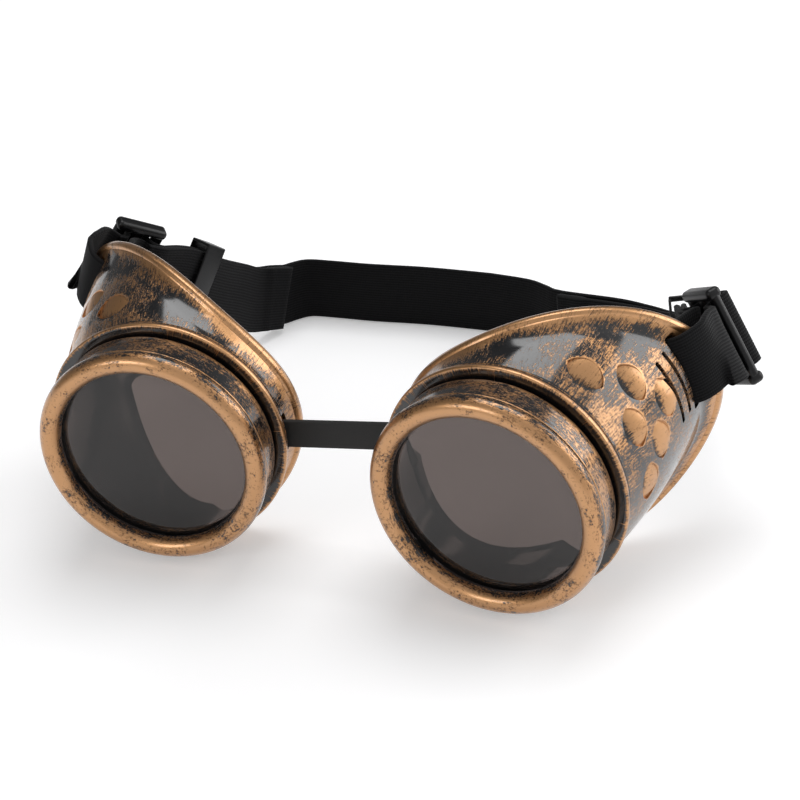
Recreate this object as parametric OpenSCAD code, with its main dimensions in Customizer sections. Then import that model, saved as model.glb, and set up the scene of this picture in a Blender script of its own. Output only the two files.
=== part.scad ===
// Round-eye goggles: two moulded cups with screw-on retaining rings, a flat
// nose strap, and one elastic headband threaded through a tri-glide and a
// keeper at each temple. Front faces -Y, +X is the wearer's left, +Z is up.
// The goggles stand on their cups and on the lower edge of the headband.

/* [Placement] */
// Distance between the centres of the two rings
eye_spacing = 89; // [87:0.5:92]
// Inward turn of each cup, in degrees
toe_in = 5.3; // [4.5:0.1:6]
// Height of the lens axes above the surface the goggles stand on
axis_height = 32.2; // [32.2:0.1:33]
// Roll of both cups about their lens axes as they lie, in degrees
cup_roll = 3.5; // [0:0.5:4]

/* [Retaining ring] */
// Wall of the band behind the bead
ring_wall = 2.6; // [2.2:0.1:2.8]
// Height by which the rounded front bead stands proud of that band
bead_proud = 0.9; // [0.5:0.1:1.1]
// Width by which the bead covers the lens's rim
window_lap = 1.6; // [1.2:0.1:2]
// Depth from the bead's widest point to the rear edge of the band
ring_depth = 10.4; // [9.6:0.1:10.7]
// Height of the fine raised line behind the bead
ring_line = 0.5; // [0.2:0.1:0.8]
// Rounding of the ring's rear edge
ring_edge = 0.6; // [0.3:0.1:0.8]
// Radial play between the neck and the ring's bore
thread_play = 0.08; // [0.05:0.01:0.1]

/* [Lens] */
// Radius of the lens disc
lens_r = 26.5; // [26:0.1:26.6]
// Thickness of the lens
lens_t = 2; // [1.6:0.1:2.2]
// Chamfer round the lens
lens_chamfer = 0.3; // [0.1:0.1:0.5]
// Depth of the lens seat behind the bead's widest point
lens_seat = 1.7; // [1.4:0.1:1.9]
// Play between the lens's rim and the ring's bore
lens_fit = 0.5; // [0.3:0.1:0.6]
// Thickness of the rubber gasket behind the lens
gasket_t = 1.3; // [1:0.1:1.5]
// Width of the gasket, and of the neck's front face behind it
gasket_w = 1.9; // [1.6:0.1:2.2]
// Clearance on each face of the lens and the gasket
lens_play = 0.03; // [0.02:0.01:0.05]

/* [Cup] */
// Height by which the rounded lip stands proud of the ring's band
lip_proud = 2.6; // [2.2:0.1:2.6]
// Depth of the lip's front face
lip_front = 11.3; // [11.2:0.1:11.6]
// Width of the lip along the axis
lip_w = 3; // [2.8:0.1:3.2]
// Rounding of the lip, outwards
lip_round = 0.6; // [0.4:0.1:0.8]
// Height of the lip over the wall behind it
lip_step = 1.2; // [1:0.1:1.4]
// Wall thickness of the moulded cup
wall = 2.2; // [2:0.1:2.4]
// Radius of the face edge where it is smallest
face_r = 31.5; // [31.3:0.1:31.5]
// Growth of the face edge towards the upper temple
face_bulge = 12.2; // [11.8:0.1:12.4]
// Growth of the face edge towards the cheek below the temple
face_cheek = 2.6; // [2.2:0.1:2.8]
// Growth of the face edge towards the nose
face_nose = 1.4; // [1:0.1:1.6]
// Depth of the face edge, averaged round the cup
face_depth = 34.2; // [34:0.1:34.6]
// Extra depth of the face edge at the temple against the nose
face_rake = 17; // [16.6:0.1:17.4]
// Depth by which the face edge wraps round the cheek and brow
face_wrap = 7.7; // [7.4:0.1:8]
// Extra depth of the face edge at the brow against the cheek
face_brow = 2.3; // [2:0.1:2.5]
// Extra depth of the face edge at its largest, by the upper temple
face_temple = 3.6; // [3.2:0.1:3.8]
// Height by which the rolled face edge stands proud of the cup wall
edge_proud = 3; // [2.6:0.1:3.2]
// Width of the rolled face edge
edge_w = 3.8; // [3.4:0.1:4]

/* [Vents and slots] */
// Length of one vent scoop round the cup
scoop_l = 10.4; // [8:0.1:11]
// Width of one vent scoop along the axis
scoop_w = 7.4; // [6:0.1:8]
// Depth of a scoop at its front edge
scoop_deep = 1.5; // [1:0.1:1.6]
// Depth of a scoop at its rear edge
scoop_shallow = 0.35; // [0.2:0.05:0.6]
// Width of the two thin slits in the temple wall
slit_w = 1.2; // [1:0.1:1.5]
// Length of the two thin slits
slit_l = 18.5; // [14:0.5:20]
// Width of the slot the headband passes through
band_slot_w = 2.9; // [2.8:0.1:3.1]
// Length of the slot the headband passes through
band_slot_l = 21.8; // [21.2:0.1:22]
// Width of the slot the nose strap passes through
nose_slot_w = 2.6; // [2.4:0.1:2.8]
// Length of the slot the nose strap passes through
nose_slot_l = 11; // [10.6:0.1:12]

/* [Straps] */
// Width of the elastic headband
band_w = 20; // [19:0.5:20.4]
// Thickness of the elastic headband
band_t = 1.5; // [1.2:0.1:1.5]
// Thickness of the folded hem at each end of the headband
hem_t = 2.9; // [2.4:0.1:3]
// Height of the nose strap
nose_w = 7.8; // [7:0.1:8]
// Thickness of the nose strap
nose_t = 1.6; // [1.2:0.1:1.8]
// Thickness of the wider end that holds the nose strap inside each cup
nose_stop_t = 2.8; // [2.6:0.1:3]
// Length of that end along the nose strap
nose_stop_l = 2.4; // [2:0.1:2.6]
// Height of that end over the slot's length
nose_stop_over = 1.6; // [1.2:0.1:1.8]

/* [Buckles] */
// Length of a tri-glide along the headband
glide_l = 15.2; // [15:0.1:15.6]
// Thickness of the tri-glide's two outer bars
glide_bar_t = 2.6; // [2.2:0.1:2.7]
// Width of the tri-glide's outer bars
glide_bar_w = 3.4; // [3.1:0.1:3.5]
// Width of the tri-glide's middle bar
glide_mid_w = 2.6; // [2.4:0.1:2.8]
// Thickness of the tri-glide's middle bar
glide_mid_t = 2.2; // [2:0.1:2.3]
// Distance of the middle bar below the outer bars
glide_mid_drop = 0.2; // [0.1:0.05:0.3]
// Width of the tri-glide's two end rails
rail_w = 3; // [2.6:0.1:3.4]
// Thickness of the tri-glide's two end rails
rail_t = 4.2; // [3.6:0.1:4.4]
// Play between the headband's edges and the rails
glide_play = 0.6; // [0.5:0.1:0.8]
// Length of a keeper along the headband
keeper_l = 8; // [6:0.5:9]
// Wall of a keeper
keeper_wall = 0.9; // [0.8:0.1:1.1]
// Height by which a keeper stands above the headband's upper edge
keeper_gap = 2; // [1.6:0.1:2.4]
// Play below the headband's lower edge
keeper_play = 0.4; // [0.3:0.1:0.6]
// Opening of a keeper across the doubled headband
keeper_open = 5; // [4.8:0.1:5.4]

/* [Hidden] */
$fn = 96;

copper = "#b07840";
black = "#1b1b1d";
elastic = "#2a2a2c";
tint = "#7d6c64";

// Depth of the rings' centres behind the frame's origin
eye_y = -65.4;
origin = [0, eye_y, axis_height];
// Radii of the ring, the neck and the lip, all from the lens
ring_bore_r = lens_r + lens_fit;
ring_band_r = ring_bore_r + ring_wall;
ring_r = ring_band_r + bead_proud;
window_r = lens_r - window_lap;
neck_r = ring_bore_r - thread_play;
neck_bore_r = lens_r - gasket_w;
lip_r = ring_band_r + lip_proud;
lens_front = lens_seat + lens_play;
gasket_front = lens_front + lens_t + lens_play;
neck_front = gasket_front + gasket_t + lens_play;
lip_back = lip_front + lip_w;
// The wall starts a little inside the lip's rear face, so that the two are one piece
wall_lap = 0.7;
shell_front = lip_back - wall_lap;
shell_front_r = lip_r - lip_step;
// Outward swell of the wall between the lip and the face edge, as a share of its length
wall_swell = 0.03;

// Direction of the upper temple, where the face edge is largest
bulge_dir = 45;
// Direction of the upper temple's extra depth, and of the cheek's growth
temple_dir = 43;
cheek_dir = -42;
// Direction, depth and tilt of the slot for the headband
band_slot_dir = 31.5;
band_slot_t = 47;
band_slot_tilt = 10;
// Distances of the two slits in front of that slot
slit_steps = [4, 7.7];
// Direction and depth of the slot for the nose strap
nose_slot_dir = 176;
nose_slot_t = 16.2;
// Vent scoops, each as direction round the cup and depth
scoops = [[61, 21.4], [45, 28.6], [30.7, 35.6], [30.7, 22.6], [17.5, 30], [3, 24.2]];

function lobe(a) = (1 + cos(a)) / 2;
// Radius and depth of the rolled face edge, a degrees round from the temple
function edge_r(a) = face_r + face_bulge * pow(lobe(a - bulge_dir), 4.5)
    + face_cheek * pow(lobe(a - cheek_dir), 10) + face_nose * pow(lobe(a - 180), 4);
function edge_t(a) = face_depth + face_rake * cos(a) + face_wrap * cos(2 * a) + face_brow * sin(a)
    + face_temple * pow(lobe(a - temple_dir), 6);
function root_r(a) = edge_r(a) - edge_proud;
function root_t(a) = edge_t(a) - edge_w;
// Outer skin between the lip (s = 0) and the face edge (s = 1)
function skin_t(a, s) = shell_front + (root_t(a) - shell_front) * s;
function skin_r(a, s) = shell_front_r + (root_r(a) - shell_front_r) * s
    + wall_swell * (root_t(a) - shell_front) * sin(180 * s);
function skin_r_at(a, t) = skin_r(a, (t - shell_front) / (root_t(a) - shell_front));
function polar(r, t, a) = [r * cos(a), t, r * sin(a)];
function arc(cx, cy, rx, ry, from, to, steps) =
    [for (i = [0:steps]) let (a = from + (to - from) * i / steps) [cx + rx * cos(a), cy + ry * sin(a)]];

// A cup's own frame: x towards the temple, y to the back along the lens axis, z up
module on_eye(roll = 0) {
    translate([eye_spacing / 2, eye_y, axis_height])
        rotate([0, 0, -toe_in])
            rotate([0, roll, 0])
                children();
}
// Turns a piece that is placed in the whole goggles' frame about the lens axis
module about_eye(roll) {
    on_eye(roll)
        rotate([0, 0, toe_in])
            translate([-eye_spacing / 2, 0, 0])
                children();
}
// The wall seen in a direction round the cup: x outwards, y to the back, z round
module facing(direction, t, tilt) {
    rotate([0, -direction, 0])
        translate([0, t, 0])
            rotate([tilt, 0, 0])
                children();
}
module turned(outline) {
    rotate([-90, 0, 0])
        rotate_extrude()
            polygon(outline);
}
// Closed skin through rings of points, each joined to the next and the last to the first
module loft(rings) {
    n = len(rings[0]);
    m = len(rings);
    points = [for (ring = rings) for (p = ring) p];
    faces = [for (i = [0:m - 1]) for (j = [0:n - 1])
        let (a = i * n + j, b = i * n + (j + 1) % n, c = ((i + 1) % m) * n + j,
             d = ((i + 1) % m) * n + (j + 1) % n)
        each [[a, b, d], [a, d, c]]];
    polyhedron(points, faces, convexity = 6);
}

// Points round the cup and steps from the lip to the face edge
around = 60;
skin_steps = 5;
function skin_ring(s, inset) = [for (j = [0:around - 1]) let (a = 360 * j / around)
    polar(skin_r(a, s) - inset, skin_t(a, s), a)];
function edge_ring(out, back) = [for (j = [0:around - 1]) let (a = 360 * j / around)
    polar(root_r(a) + edge_proud * out, root_t(a) + edge_w * back, a)];

module cup_shell() {
    loft(concat(
        [for (i = [0:skin_steps]) skin_ring(i / skin_steps, 0)],
        [for (p = [[0.7, 0.15], [1, 0.4], [0.97, 0.75], [0.7, 1], [0, 1]]) edge_ring(p[0], p[1])],
        [for (i = [skin_steps:-1:0]) skin_ring(i / skin_steps, wall)]));
}
// Width of the rounded front of the lip, and the plain step behind it
lip_bead_w = 1.8;
module cup_neck() {
    turned(concat(
        [[neck_bore_r, neck_front], [neck_r, neck_front], [neck_r, lip_front],
         [lip_r - lip_round, lip_front]],
        arc(lip_r - lip_round, lip_front + lip_bead_w / 2, lip_round, lip_bead_w / 2, -60, 60, 4),
        [[lip_r - lip_round, lip_back], [shell_front_r - 0.7 * wall, lip_back],
         [neck_bore_r, lip_back - 2 * wall_lap]]));
}
// Reach of the cuts through the wall, and the radii that they start from
cut = 8;
slot_depth = 18;
slot_from = 30;
nose_slot_from = 26;
// Leaf-shaped recess, deepest at its front edge
module scoop(direction, t) {
    slope = atan((skin_r_at(direction, t + 1) - skin_r_at(direction, t - 1)) / 2);
    leaf_r = (scoop_l * scoop_l / 4 + scoop_w * scoop_w / 4) / scoop_w;
    floor_tilt = atan((scoop_deep - scoop_shallow) / scoop_w);
    translate(polar(skin_r_at(direction, t), t, direction))
        rotate([0, -direction, 0])
            rotate([0, 0, -slope])
                intersection() {
                    translate([0, leaf_r - scoop_w / 2, 0])
                        rotate([0, 90, 0])
                            cylinder(r = leaf_r, h = cut, center = true);
                    translate([0, scoop_w / 2 - leaf_r, 0])
                        rotate([0, 90, 0])
                            cylinder(r = leaf_r, h = cut, center = true);
                    translate([-(scoop_deep + scoop_shallow) / 2, 0, 0])
                        rotate([0, 0, -floor_tilt])
                            translate([0, -scoop_w, -scoop_l])
                                cube([cut, 2 * scoop_w, 2 * scoop_l]);
                }
}
module eye_cup(roll) {
    on_eye(roll) difference() {
        union() {
            cup_shell();
            cup_neck();
        }
        for (s = scoops) scoop(s[0], s[1]);
        facing(band_slot_dir, band_slot_t, band_slot_tilt) {
            translate([slot_from, -band_slot_w / 2, -band_slot_l / 2])
                cube([slot_depth, band_slot_w, band_slot_l]);
            for (step = slit_steps)
                translate([slot_from, -step - slit_w / 2, -slit_l / 2])
                    cube([slot_depth, slit_w, slit_l]);
        }
        facing(nose_slot_dir, nose_slot_t, 0)
            translate([nose_slot_from, -nose_slot_w / 2, -nose_slot_l / 2])
                cube([cut, nose_slot_w, nose_slot_l]);
    }
}

// Depth of the bead's widest circle, its extra height, and the depth of the raised line behind it
bead_back = 0.8;
bead_over = 0.2;
ring_line_t = 2.5;
// Width of the raised line, and of the slope from the bead down to it
ring_line_w = 0.9;
module retaining_ring() {
    bead = (ring_r - window_r) / 2;
    on_eye() turned(concat(
        arc(window_r + bead, bead_back, bead, bead + bead_over, 180, 360, 14),
        [[ring_r - ring_line / 2, lens_seat], [ring_band_r + ring_line / 2, ring_line_t - ring_line_w / 2],
         [ring_band_r + ring_line, ring_line_t], [ring_band_r, ring_line_t + ring_line_w / 2],
         [ring_band_r, ring_depth - ring_edge], [ring_band_r - ring_edge, ring_depth],
         [ring_bore_r, ring_depth], [ring_bore_r, lens_seat], [window_r, lens_seat]]));
}
module lens() {
    back = lens_front + lens_t;
    on_eye() turned([[0, lens_front], [lens_r - lens_chamfer, lens_front],
        [lens_r, lens_front + lens_chamfer], [lens_r, back - lens_chamfer],
        [lens_r - lens_chamfer, back], [0, back]]);
}
module lens_gasket() {
    on_eye() turned([[neck_bore_r, gasket_front], [lens_r, gasket_front],
        [lens_r, gasket_front + gasket_t], [neck_bore_r, gasket_front + gasket_t]]);
}

// Buckles are built flat, x along the headband, y across it, z outwards, and turned into place
glide_turn = [74.1, 28.7, 133.2];
glide_at = [85.8, 67.9, 15.7];
keeper_turn = [83.8, 35.5, 104.2];
keeper_at = glide_at + [-12.05, 16.1, -13.8];
// Share of the cup's roll taken up by the tri-glide and by the keeper
glide_follow = 0.5;
keeper_follow = 0.35;
function axis_x(r) = [cos(r[1]) * cos(r[2]), cos(r[1]) * sin(r[2]), -sin(r[1])];
function axis_y(r) = [cos(r[2]) * sin(r[1]) * sin(r[0]) - sin(r[2]) * cos(r[0]),
    sin(r[2]) * sin(r[1]) * sin(r[0]) + cos(r[2]) * cos(r[0]), cos(r[1]) * sin(r[0])];
function axis_z(r) = cross(axis_x(r), axis_y(r));

// Bar with rounded edges, its length along y
module bar(w, t, l) {
    cube([w - t, l, t], center = true);
    for (side = [-1, 1])
        translate([side * (w - t) / 2, 0, 0])
            rotate([90, 0, 0])
                cylinder(d = t, h = l, center = true);
}
module tri_glide(roll) {
    inner = band_w / 2 + glide_play;
    bar_x = (glide_l - glide_bar_w) / 2;
    about_eye(roll * glide_follow) translate(glide_at) rotate(glide_turn) {
        for (side = [-1, 1]) {
            translate([side * bar_x, 0, 0])
                bar(glide_bar_w, glide_bar_t, 2 * inner + rail_w);
            translate([0, side * (inner + rail_w / 2), 0])
                rotate([-90, -90, 0])
                    bar(rail_t, rail_w, glide_l);
        }
        translate([0, 0, -glide_mid_drop])
            bar(glide_mid_w, glide_mid_t, 2 * inner + rail_w);
    }
}
module keeper(roll) {
    h = band_w + keeper_gap + keeper_play;
    about_eye(roll * keeper_follow) translate(keeper_at) rotate(keeper_turn)
        translate([0, (keeper_gap + keeper_play) / 2 - keeper_play, -layer_gap / 2])
            difference() {
                cube([keeper_l, h + 2 * keeper_wall, keeper_open + 2 * keeper_wall], center = true);
                cube([keeper_l + 1, h, keeper_open], center = true);
            }
}

// Headband stations: place, direction across the band, half thickness, and whether that direction
// is turned square to the route (1) or kept as given (0), as in the slot
half_t = band_t / 2;
// Distance between the two layers of the doubled headband, and at the hems
layer_gap = 1.9;
hem_gap = 2.6;
function station(p, across, h = half_t, square = 1) = concat(p, across, [h, square]);
function flipped(s) = [-s[0], s[1], s[2], -s[3], s[4], s[5], s[6], s[7]];
function place(s) = [s[0], s[1], s[2]];
function across(s) = [s[3], s[4], s[5]];
function unit(v) = v / norm(v);
function reverse(list) = [for (i = [len(list) - 1:-1:0]) list[i]];
function swing(v, a) = [v[0] * cos(a) + v[1] * sin(a), v[1] * cos(a) - v[0] * sin(a), v[2]];
function roll_over(v, a) = [v[0] * cos(a) + v[2] * sin(a), v[1], v[2] * cos(a) - v[0] * sin(a)];
function roll_in_cup(v, a) = swing(roll_over(swing(v, -toe_in), a), toe_in);
eye = [eye_spacing / 2, 0, 0];
function rolled(s, a) =
    station(eye + roll_in_cup(place(s) - eye, a), roll_in_cup(across(s), a), s[6], s[7]);

// From behind each tri-glide round the head to the middle, the doubled part first
left_round = [
    station(glide_at + [-10.8, 11.1, -9.7], [-0.3, 0.45, 0.84]),
    station(glide_at + [-12.8, 19.1, -16.3], [-0.22, 0.52, 0.83]),
    station([71, 96, -7.2], [-0.14, 0.5, 0.86]),
    station([68.8, 104, -12], [-0.08, 0.48, 0.87]),
    station([65.5, 112, -17], [-0.08, 0.42, 0.9]),
    station([60, 119.5, -20.6], [-0.08, 0.25, 0.96]),
    station([52, 125, -21.96], [-0.03, 0.08, 1]),
    station([42, 128, -22.16], [0, 0, 1]),
    station([24, 129, -22.2], [0, 0, 1]),
    station([18.5, 131.2, -22.2], [0, 0, 1]),
    station([12.5, 133.6, -22.2], [0, 0, 1]),
    station([0, 134.8, -22.2], [0, 0, 1])];
right_round = [
    station(glide_at + [-10.6, 11.1, -9.7], [-0.3, 0.45, 0.84]),
    station(glide_at + [-12.4, 19.1, -16.1], [-0.22, 0.52, 0.83]),
    station([72.2, 96, -6.8], [-0.14, 0.5, 0.86]),
    station([71.2, 104, -12], [-0.08, 0.48, 0.87]),
    station([69.8, 112, -17.4], [-0.06, 0.42, 0.9]),
    station([67.6, 119, -20], [-0.05, 0.2, 0.97]),
    station([64.8, 124, -21.7], [0, 0, 1]),
    station([62.3, 128.2, -22.2], [0, 0, 1]),
    station([58.5, 131, -22.2], [0, 0, 1]),
    station([50, 131.8, -22.2], [0, 0, 1]),
    station([38, 132.4, -22.2], [0, 0, 1]),
    station([20, 134.2, -22.2], [0, 0, 1]),
    station([0, 134.8, -22.2], [0, 0, 1])];
// Last stations of the doubled part
left_tail_end = 8;
right_tail_end = 6;
// Through the tri-glide: under the front bar, over the middle bar, under the rear bar
glide_climb = [[-7.4, -2.85], [-5.7, -2.7], [-4.3, -2.4], [-3.4, -1.2], [-2.85, 0.3], [-2.8, 2.2],
    [-2.6, 4], [-1.6, 5.4]];
glide_top = 5.8;
function in_glide(x, z) = station(glide_at + x * axis_x(glide_turn) + z * axis_z(glide_turn),
    axis_y(glide_turn));
through_glide = concat(
    [for (p = glide_climb) in_glide(p[0], p[1])],
    [in_glide(0, glide_top)],
    [for (p = reverse(glide_climb)) in_glide(-p[0], p[1])]);
// Beneath the tri-glide and round the rear of the slot, from the back to the front
under_glide = [
    station(glide_at + [-7.4, 1.7, -4.8], [-0.5, 0.22, 0.84]),
    station(glide_at + [-5, -1, -2.9], [-0.5, 0.18, 0.85]),
    station(glide_at + [-3.6, -3.9, -1.1], [-0.44, 0.1, 0.89]),
    station(glide_at + [-4.4, -7.3, 0.7], [-0.34, -0.02, 0.94])];
// Through the slot, as radius and depth in the cup, from inside to outside
slot_pass = [[34.6, 57.6], [33.8, 53.6], [33.5, 50.1], [34.4, 47.9], [36.9, 46.95], [39.4, 46.95],
    [41.3, 47.7], [43.3, 50], [44.6, 53]];
// Lean of the headband with the wall in that slot, its lower edge further in
slot_lean = 11;
lean_dir = band_slot_dir - slot_lean;
slot_across = swing([-cos(band_slot_tilt) * sin(lean_dir), -sin(band_slot_tilt),
    cos(band_slot_tilt) * cos(lean_dir)], toe_in);
function in_slot(p) =
    station(eye + swing(polar(p[0], p[1], band_slot_dir), toe_in), slot_across, half_t, 0);
over_edge = [
    station([88, 51.8, 23.2], [-0.5, -0.05, 0.86]),
    station(glide_at + [3.6, -11, 5.5], [-0.51, 0.1, 0.85])];
// Share of the cup's roll taken up behind the tri-glide
function round_follow(i) = keeper_follow * max(0, 1 - i / 4);
function ear(roll) = concat(
    [for (s = under_glide) rolled(s, roll * (glide_follow + 0.1))],
    [for (p = slot_pass) rolled(in_slot(p), roll)],
    [rolled(over_edge[0], roll), rolled(over_edge[1], roll * 0.75)],
    [for (s = through_glide) rolled(s, roll * glide_follow)]);
function round_side(list, roll) = [for (i = [0:len(list) - 1]) rolled(list[i], roll * round_follow(i))];

// Smooth curve through stations, with points no further than about 4 mm apart
function bend(a, b, c, d, u) = 0.5 * (2 * b + (c - a) * u + (2 * a - 5 * b + 4 * c - d) * u * u
    + (3 * b - a - 3 * c + d) * u * u * u);
function smooth(list) = [for (i = [0:len(list) - 2])
    let (a = list[max(i - 1, 0)], b = list[i], c = list[i + 1], d = list[min(i + 2, len(list) - 1)],
         steps = max(1, round(norm(place(c) - place(b)) / 4)))
    each [for (k = [0:steps - 1]) bend(a, b, c, d, k / steps)]];
function heading(list, i) = unit(place(list[min(i + 1, len(list) - 1)]) - place(list[max(i - 1, 0)]));
function square_to(v, along) = unit(v - along * (v * along));
function set_in(list, i, gap) =
    let (t = heading(list, i), w = square_to(across(list[i]), t))
    station(place(list[i]) - cross(t, w) * gap, across(list[i]));
function tail(list, last) = [for (i = [last:-1:0]) set_in(list, i, i < last - 1 ? layer_gap : hem_gap)];
function hemmed(list) = [for (i = [0:len(list) - 1])
    station(place(list[i]), across(list[i]), i < 3 ? hem_t / 2 : half_t, list[i][7])];
function half(list, last, roll) =
    let (side = round_side(list, roll))
    hemmed(smooth(concat(tail(side, last), ear(roll), side)));
band_path = concat(half(left_round, left_tail_end, cup_roll),
    reverse([for (s = half(right_round, right_tail_end, -cup_roll)) flipped(s)]));

module ribbon(path, w) {
    n = len(path);
    rings = [for (i = [0:n - 1])
        let (t = heading(path, i), s = across(path[i]), v = unit(s - t * (s * t) * path[i][7]),
             up = unit(cross(t, v)), p = place(path[i]))
        [for (c = [[-1, -1], [1, -1], [1, 1], [-1, 1]])
            origin + p + v * c[0] * w / 2 + up * c[1] * path[i][6]]];
    points = [for (ring = rings) for (q = ring) q];
    sides = [for (i = [0:n - 2]) for (j = [0:3])
        let (a = 4 * i + j, b = 4 * i + (j + 1) % 4, c = a + 4, d = b + 4)
        each [[a, c, d], [a, d, b]]];
    last = 4 * n;
    polyhedron(points, concat(sides, [[0, 1, 2], [0, 2, 3]],
        [[last - 4, last - 2, last - 3], [last - 4, last - 1, last - 2]]), convexity = 10);
}

// Nose strap, from slot to slot behind the lips of both cups
nose_y = 18.9;
nose_end = 20.4;
nose_r = 29.7;
nose_z = nose_r * sin(nose_slot_dir);
nose_tilt = atan(nose_r * sin(cup_roll) / (eye_spacing / 2 - nose_r));
// Clearance of its wider ends from the inside of the wall
nose_stop_play = 0.35;
module nose_stop(roll) {
    h = nose_slot_l + nose_stop_over;
    wall_r = skin_r_at(nose_slot_dir, nose_slot_t + nose_stop_t / 2) - wall;
    on_eye(roll)
        facing(nose_slot_dir, nose_slot_t, 0)
            translate([sqrt(wall_r * wall_r - h * h / 4) - nose_stop_play - nose_stop_l, -nose_stop_t / 2, -h / 2])
                cube([nose_stop_l, nose_stop_t, h]);
}
module nose_band() {
    translate(origin + [0, nose_y, nose_z])
        rotate([0, -nose_tilt, 0])
            cube([2 * nose_end, nose_t, nose_w], center = true);
    nose_stop(cup_roll);
    mirror([1, 0, 0]) nose_stop(-cup_roll);
}

module left_eye_cup() color(copper) eye_cup(cup_roll);
module right_eye_cup() color(copper) mirror([1, 0, 0]) eye_cup(-cup_roll);
module left_retaining_ring() color(copper) retaining_ring();
module right_retaining_ring() color(copper) mirror([1, 0, 0]) retaining_ring();
module left_lens() color(tint) lens();
module right_lens() color(tint) mirror([1, 0, 0]) lens();
module left_lens_gasket() color(black) lens_gasket();
module right_lens_gasket() color(black) mirror([1, 0, 0]) lens_gasket();
module left_tri_glide() color(black) tri_glide(cup_roll);
module right_tri_glide() color(black) mirror([1, 0, 0]) tri_glide(-cup_roll);
module left_keeper() color(black) keeper(cup_roll);
module right_keeper() color(black) mirror([1, 0, 0]) keeper(-cup_roll);
module headband() color(elastic) ribbon(band_path, band_w);
module nose_strap() color(black) nose_band();

left_eye_cup();
right_eye_cup();
left_retaining_ring();
right_retaining_ring();
left_lens();
right_lens();
left_lens_gasket();
right_lens_gasket();
left_tri_glide();
right_tri_glide();
left_keeper();
right_keeper();
headband();
nose_strap();
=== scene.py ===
import math
from contextlib import contextmanager

import bpy
import numpy as np
from bpy.props import FloatProperty, FloatVectorProperty, IntProperty, PointerProperty
from bpy.types import Operator, Panel, PropertyGroup
from mathutils import Matrix, Vector


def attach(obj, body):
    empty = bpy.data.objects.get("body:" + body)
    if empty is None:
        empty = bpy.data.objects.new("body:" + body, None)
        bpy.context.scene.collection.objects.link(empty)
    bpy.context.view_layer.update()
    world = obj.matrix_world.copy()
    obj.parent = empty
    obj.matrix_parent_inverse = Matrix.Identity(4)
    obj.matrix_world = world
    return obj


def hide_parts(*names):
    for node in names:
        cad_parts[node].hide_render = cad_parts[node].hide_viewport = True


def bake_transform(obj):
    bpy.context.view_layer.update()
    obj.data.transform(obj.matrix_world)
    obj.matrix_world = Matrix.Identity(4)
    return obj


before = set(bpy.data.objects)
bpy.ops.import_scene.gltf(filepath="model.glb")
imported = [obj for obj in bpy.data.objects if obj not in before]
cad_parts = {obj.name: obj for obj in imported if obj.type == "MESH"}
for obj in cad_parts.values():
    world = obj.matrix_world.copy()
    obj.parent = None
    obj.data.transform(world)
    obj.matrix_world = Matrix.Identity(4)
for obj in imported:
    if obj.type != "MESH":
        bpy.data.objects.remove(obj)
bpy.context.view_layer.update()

bl_info = {
    "name": "Round-Eye Goggles",
    "version": (1, 0, 0),
    "blender": (4, 5, 0),
    "location": "View3D > Sidebar > Goggles",
    "description": "Builds round-eye goggles with brushed copper cups and an elastic headband",
    "category": "Add Mesh",
}

MM = 0.001
SIDES = {"left": 1, "right": -1}
CUP_STEPS, RING_STEPS, LENS_STEPS = 288, 256, 192  # points round each turned piece
STROKE_R = 35  # radius on which the brush strokes are laid, in millimetres
SCOOP_BEND = 36 * MM  # radius of the wall round the scoops
STRAP_STEP = 1.5 * MM  # distance between the nose strap's cross cuts
CUTTER_REACH, NOSE_CUTTER_REACH = (30, 48), (26, 34)  # radii that the slot cutters span
ROUTE_STEP = 1.35  # distance between the headband's rows, in millimetres


def length(name, millimetres, description=""):
    """A size in millimetres; without a description its name says it all"""
    return FloatProperty(name=name, description=description or name, default=millimetres * MM,
                         min=0.0, unit="LENGTH", precision=5)


def angle(name, degrees, description):
    return FloatProperty(name=name, description=description, default=math.radians(degrees),
                         subtype="ANGLE")


def colour(name, rgb, description):
    return FloatVectorProperty(name=name, description=description, default=rgb, size=3,
                               min=0.0, max=1.0, subtype="COLOR")


class CupSizes(PropertyGroup):
    """Sizes of the eye cups and where they stand"""
    eye_spacing: length("Eye Spacing", 89, "Distance between the centres of the two rings")
    axis_height: length("Axis Height", 32.2, "Height of the lens axes above the floor")
    eye_back: length("Ring Distance", 65.4, "Distance in front of the origin")
    toe_in: angle("Toe-In", 5.3, "Inward turn of each cup")
    roll: angle("Roll", 3.5, "Roll of both cups about their lens axes as they lie")
    lip_r: length("Lip Radius", 32.2, "Outer radius of the rounded lip behind the ring")
    lip_front: length("Lip Front", 11.3, "Depth of the lip's front face")
    lip_w: length("Lip Width", 3, "Width of the lip along the axis")
    wall: length("Wall", 2.2, "Thickness of the moulded wall")
    face_r: length("Face Radius", 31.5, "Smallest radius of the rolled face edge")
    face_bulge: length("Temple Growth", 12.2, "Growth towards the upper temple")
    face_depth: length("Face Depth", 34.2, "Mean depth of the face edge")
    face_rake: length("Face Rake", 17, "Extra depth at the temple")
    face_wrap: length("Face Wrap", 7.7, "Depth of the wrap round the cheek")
    edge_proud: length("Edge Height", 3, "Height of the rolled edge over the wall")
    edge_w: length("Edge Width", 3.8)
    flare_w: length("Flare Width", 5.6, "Width of the flare before the rolled edge")
    flare_h: length("Flare Height", 1.9, "Height of the flare before the rolled edge")
    neck_r: length("Neck Radius", 26.92, "Outer radius of the threaded neck")
    neck_bore_r: length("Neck Bore", 24.6, "Radius of the bore behind the lens")
    neck_front: length("Neck Front", 5.09, "Depth of the neck's front face")
    thread_pitch: length("Thread Pitch", 2.5)


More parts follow.
